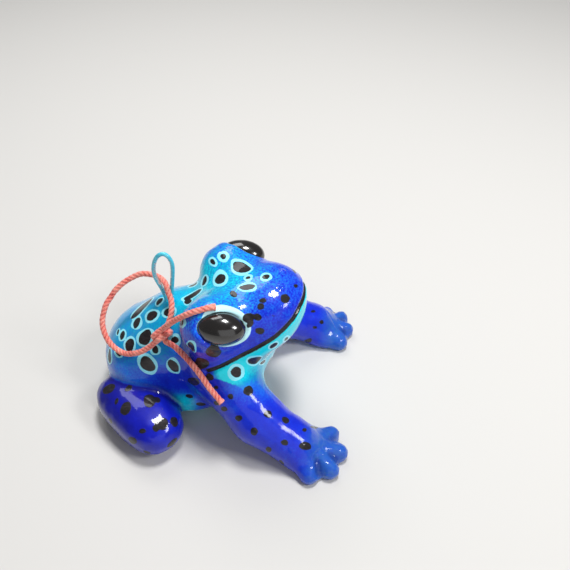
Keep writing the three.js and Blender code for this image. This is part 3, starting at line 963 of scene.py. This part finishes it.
# %% A value
class Value:
    """The output of a node. Sums on it add Math nodes."""

    def __init__(self, finish, socket):
        self.finish = finish
        self.socket = socket

    def math(self, operation, first, second, clamp=False):
        settings = {"operation": operation, "use_clamp": clamp}
        return self.finish.add("ShaderNodeMath", settings, {0: first, 1: second})

    def __add__(self, other):
        return self.math("ADD", self, other)

    def __radd__(self, other):
        return self.math("ADD", other, self)

    def __sub__(self, other):
        return self.math("SUBTRACT", self, other)

    def __rsub__(self, other):
        return self.math("SUBTRACT", other, self)

    def __mul__(self, other):
        return self.math("MULTIPLY", self, other)

    def __rmul__(self, other):
        return self.math("MULTIPLY", other, self)

    def __truediv__(self, other):
        return self.math("DIVIDE", self, other)

    def clamped(self):
        """The value held between 0 and 1."""
        return self.math("ADD", self, 0, clamp=True)


print("values can be summed")


# %% A finish
class Finish:
    """A material and the ways that its nodes are added."""

    def __init__(self, name):
        self.material = bpy.data.materials.new(name)
        self.material.use_nodes = True
        self.nodes = self.material.node_tree.nodes
        self.shader = self.nodes["Principled BSDF"]
        self.place = self.add("ShaderNodeTexCoord", {}, {}, "Object")

    def add(self, kind, settings, inputs, output=0):
        """Adds a node and gives one of its outputs."""
        node = self.nodes.new(kind)
        for name, setting in settings.items():
            if name == "stops":
                self.set_stops(node.color_ramp, setting)
            else:
                setattr(node, name, setting)
        for name, given in inputs.items():
            self.feed(node.inputs[name], given)
        return Value(self, node.outputs[output])

    def set_stops(self, ramp_of_colours, stops):
        """Gives a colour ramp its stops, as pairs of a place and a colour."""
        elements = ramp_of_colours.elements
        while len(elements) < len(stops):
            elements.new(1)
        for element, (place, colour) in zip(elements, stops):
            element.position = place
            element.color = (*colour, 1)

    def feed(self, socket, given):
        """Links a value to a socket, or sets the socket to a number or colour."""
        if isinstance(given, Value):
            self.material.node_tree.links.new(given.socket, socket)
        elif isinstance(given, tuple) and socket.type == "RGBA":
            socket.default_value = (*given, 1)
        else:
            socket.default_value = given

    def set(self, **given):
        """Feeds sockets of the shader, with _ for the spaces in their names."""
        for name, value in given.items():
            self.feed(self.shader.inputs[name.replace("_", " ")], value)

    def kept(self, name):
        """The number kept for each corner of the mesh under that name."""
        return self.add("ShaderNodeAttribute", {"attribute_name": name}, {}, "Fac")

    def grain(self, size_mm, detail, place=None):
        """Cloudy noise around 0.5, with lumps of about that size."""
        return self.add("ShaderNodeTexNoise", {}, {
            "Vector": place or self.place, "Scale": 1 / (size_mm * MM), "Detail": detail}, "Fac")

    def stretched(self, factors):
        """Object places stretched along the axes, for streaks."""
        return self.add("ShaderNodeMapping", {}, {"Vector": self.place, "Scale": factors})

    def mixed(self, share, first, second):
        """The first colour where the share is 0, the second where it is 1."""
        return self.add(
            "ShaderNodeMix", {"data_type": "RGBA"}, {0: share, 6: first, 7: second}, 2)

    def colours(self, value, stops):
        """The value looked up in a ramp of colours."""
        return self.add("ShaderNodeValToRGB", {"stops": stops}, {"Fac": value}, "Color")

    def inside(self, edge, softness):
        """1 where a signed distance is below 0 and 0 above it, with a soft step between."""
        return (0.5 - edge / softness).clamped()

    def raised(self, height, millimetres, strength):
        """A surface direction for a height of so many millimetres."""
        return self.add("ShaderNodeBump", {}, {
            "Height": height, "Distance": millimetres * MM, "Strength": strength}, "Normal")


print("finishes can be made")

# %% [markdown]
# ## The painted clay
#
# From the clay outwards, the paint goes on in this order: the airbrushed blue with its fine speckle, a
# thin steel-blue wash on the hands, the pale rings and lids, the black mouth band and spots, and last
# the clear varnish over it all. The spots were dabbed on with a half-dry brush, so their black is a
# little streaky and their edges are rough. Varnish is the shader's coat: smooth, over a duller paint.

# %% The paints
NAVY = (0.003, 0.003, 0.12)
DEEP_COBALT = (0.004, 0.008, 0.36)
COBALT = (0.005, 0.026, 0.6)
AZURE = (0.01, 0.15, 0.74)
TURQUOISE = (0.0, 0.36, 0.66)
CYAN = (0.0, 0.72, 0.86)
RING_PAINT = (0.3, 0.86, 1.0)
LID_PAINT = (0.55, 0.91, 0.98)
SPOT_PAINT = (0.011, 0.009, 0.011)
WORN_SPOT = (0.035, 0.03, 0.034)
STEEL_WASH = (0.025, 0.13, 0.42)
print("paints from navy", NAVY, "to cyan", CYAN)

# %% Airbrushed blue
LIGHTER_THAN = 0.34
CREASE_SHADE_STRENGTH = 0.55

clay = Finish("painted_clay")
speckle = clay.grain(0.42, 3)
cloud = clay.grain(2.2, 3)
streak = clay.grain(0.5, 3, clay.stretched((1, 0.35, 1)))
tone_kept = clay.kept("tone")
light_part = ((tone_kept - LIGHTER_THAN) * 6).clamped()
mist_strength = clay.kept("mist") * (0.15 + 0.75 * light_part)
sprayed_tone = tone_kept + (speckle - 0.5) * mist_strength + (cloud - 0.5) * 0.16
paint = clay.colours(sprayed_tone, [
    (0.05, NAVY), (0.25, DEEP_COBALT), (0.38, COBALT), (0.55, AZURE), (0.73, TURQUOISE), (0.95, CYAN)])
paint = clay.mixed(clay.kept("hand_wash") * (0.25 + 0.9 * streak).clamped(), paint, STEEL_WASH)
# Painted shade: the blue is darkened towards navy in the creases.
paint = clay.mixed(clay.kept("crease") * CREASE_SHADE_STRENGTH, paint, NAVY)
print("airbrushed blue has", len(clay.nodes), "nodes")

# %% Spots, rings and varnish
EDGE_SOFTNESS = 0.12
EDGE_ROUGHNESS = 0.22
PAINT_THICKNESS = 0.04
COAT_ROUGHNESS = 0.04
COAT_IOR = 1.36

rough_edge = (clay.grain(0.5, 2) - 0.5) * EDGE_ROUGHNESS
ring = clay.inside(clay.kept("ring_edge") + rough_edge * 0.7, EDGE_SOFTNESS)
lid = clay.inside(clay.kept("lid_edge") + rough_edge * 0.4, EDGE_SOFTNESS)
spot = clay.inside(clay.kept("spot_edge") + rough_edge, EDGE_SOFTNESS)
band = clay.inside(clay.kept("mouth_edge") + rough_edge * 0.8, EDGE_SOFTNESS)
black = (spot + band).clamped()
paint = clay.mixed(ring * (0.8 + 0.3 * streak).clamped(), paint, RING_PAINT)
paint = clay.mixed(lid, paint, LID_PAINT)
worn = ((streak - 0.45) * 3).clamped()
paint = clay.mixed(black, paint, clay.mixed(worn * 0.8, SPOT_PAINT, WORN_SPOT))

layers = 0.5 * ring + 0.8 * lid + 0.9 * black + 0.25 * streak + 0.12 * speckle
clay.set(
    Base_Color=paint, Roughness=(0.3 + 0.12 * black + 0.08 * cloud).clamped(), Coat_Weight=1.0,
    Coat_Roughness=COAT_ROUGHNESS, Coat_IOR=COAT_IOR, Specular_IOR_Level=0.12,
    Normal=clay.raised(layers, PAINT_THICKNESS, 0.8))
skin.data.materials.append(clay.material)
print("painted clay has", len(clay.nodes), "nodes")

# %% [markdown]
# ## Eye black, wire and string
#
# The eye's black is the same paint under thicker varnish. The wire was painted with the body, and the
# paint is left on its outer side, while the inner side shows scratched metal. The string is coral
# cotton, mottled with fine fibres, with painted shade in the grooves between its strands and a painted
# highlight on their crests.

# %% Black eyes
BROWN_BLACK = (0.012, 0.009, 0.008)
EYE_BLACK = (0.004, 0.004, 0.005)

gloss = Finish("eye_black")
gloss_cloud = gloss.grain(1.6, 3)
gloss.set(
    Base_Color=gloss.mixed(gloss_cloud, EYE_BLACK, BROWN_BLACK), Roughness=(0.16 + 0.1 * gloss_cloud),
    Coat_Weight=1.0, Coat_Roughness=0.02, Normal=gloss.raised(gloss.grain(0.6, 2), 0.02, 0.5))
for ball in eyes:
    ball.data.materials.append(gloss.material)
print("eye black has", len(gloss.nodes), "nodes")

# %% Painted wire
WIRE_PAINT = (0.01, 0.42, 0.62)
WIRE_PAINT_PALE = (0.16, 0.72, 0.85)
BARE_METAL = (0.86, 0.84, 0.82)
OLD_METAL = (0.3, 0.22, 0.18)

bar = Finish("painted_wire")
chips = bar.grain(0.55, 4)
bare = ((bar.kept("rubbed") + (chips - 0.5) * 1.6 - 0.25) * 9).clamped()
wire_paint = bar.mixed(bar.grain(0.9, 2), WIRE_PAINT, WIRE_PAINT_PALE)
metal = bar.mixed(((bar.grain(0.35, 3) - 0.55) * 5).clamped(), BARE_METAL, OLD_METAL)
bar.set(
    Base_Color=bar.mixed(bare, wire_paint, metal), Metallic=bare, Roughness=0.2 + 0.25 * bare,
    Coat_Weight=0.6 * (1 - bare), Normal=bar.raised(chips - bare, 0.05, 0.7))
wire.data.materials.append(bar.material)
print("painted wire has", len(bar.nodes), "nodes")

# %% Coral string
DARK_CORAL_GROOVE_SHADE = (0.33, 0.022, 0.025)
CORAL = (0.82, 0.15, 0.12)
PALE_CORAL_CREST_LIGHT = (0.97, 0.42, 0.33)

twine = Finish("coral_twine")
crest = twine.kept("crest")
fibre = twine.grain(0.16, 4)
patch = twine.grain(3.5, 2)
# Painted light: the colour goes dark in the grooves as painted shade and pale on the crests as a painted
# highlight, and is mottled at random by the fibres.
crest_light_and_fibre_tone = crest * 0.4 + (fibre - 0.5) * 1.3 + (patch - 0.5) * 0.7 + 0.3
twine.set(
    Base_Color=twine.colours(crest_light_and_fibre_tone, [(0, DARK_CORAL_GROOVE_SHADE), (0.4, CORAL), (0.9, PALE_CORAL_CREST_LIGHT)]),
    Roughness=0.75, Sheen_Weight=0.25, Sheen_Roughness=0.5,
    Normal=twine.raised(fibre + 0.5 * crest, 0.12, 0.8))
string.data.materials.append(twine.material)
print("coral string has", len(twine.nodes), "nodes")

# %% [markdown]
# ## Floor and light
#
# The figure stands on a plain pale floor. Large soft lamps give the varnish broad highlights, as a
# bright sky would, and smaller, stronger ones give the sharp ones. Where they hang was worked out from
# the highlights on the thigh, arm and snout: the varnish mirrors a lamp overhead and one in front. The
# air round about gives a weak even light, and the camera sees it as a pale backdrop.

# %% Lay the floor
FLOOR_HALF = 0.6
FLOOR_PAPER = (0.62, 0.61, 0.59)
PAPER_ROUGHNESS = 0.85

sheet = bmesh.new()
bmesh.ops.create_grid(sheet, x_segments=1, y_segments=1, size=FLOOR_HALF)
floor = mesh_from("floor", sheet)
paper = Finish("floor_paper")
paper.set(Base_Color=FLOOR_PAPER, Roughness=PAPER_ROUGHNESS)
floor.data.materials.append(paper.material)
print("the floor is", 2 * FLOOR_HALF, "m across")

# %% Hang the lamps
LIT_PLACE = Vector((0, 0, 0.015))


def lamp(name, place, size, power):
    """Hangs a square soft lamp that points at the figure."""
    light = bpy.data.lights.new(name, "AREA")
    light.size = size
    light.energy = power
    made = link(name, light)
    made.location = place
    made.rotation_euler = (LIT_PLACE - made.location).to_track_quat("-Z", "Y").to_euler()


lamp("overhead", (-0.08, 0.05, 0.45), 0.1, 1.55)
lamp("front_window", (0.1, 0.36, 0.36), 0.12, 1.05)
lamp("back_sky", (-0.25, -0.15, 0.36), 0.2, 0.55)
lamp("side_fill", (0.42, 0.2, 0.16), 0.5, 0.6)
print("four lamps hung")

# %% Fill the air with light
AIR_LIGHT = 0.18
BACKDROP = (0.6, 0.6, 0.59, 1)
world = bpy.data.worlds.new("studio")
world.use_nodes = True
air = world.node_tree
sky = air.nodes["Background"]
backdrop, eye_ray, chosen = (
    air.nodes.new("ShaderNode" + kind) for kind in ("Background", "LightPath", "MixShader"))
sky.inputs["Color"].default_value = (1, 1, 1, 1)
sky.inputs["Strength"].default_value = AIR_LIGHT
backdrop.inputs["Color"].default_value = BACKDROP
air.links.new(eye_ray.outputs["Is Camera Ray"], chosen.inputs["Fac"])
air.links.new(sky.outputs[0], chosen.inputs[1])
air.links.new(backdrop.outputs[0], chosen.inputs[2])
air.links.new(chosen.outputs[0], air.nodes["World Output"].inputs["Surface"])
bpy.context.scene.world = world
bpy.context.scene.view_settings.view_transform = "Standard"
print("the air shines at", AIR_LIGHT)
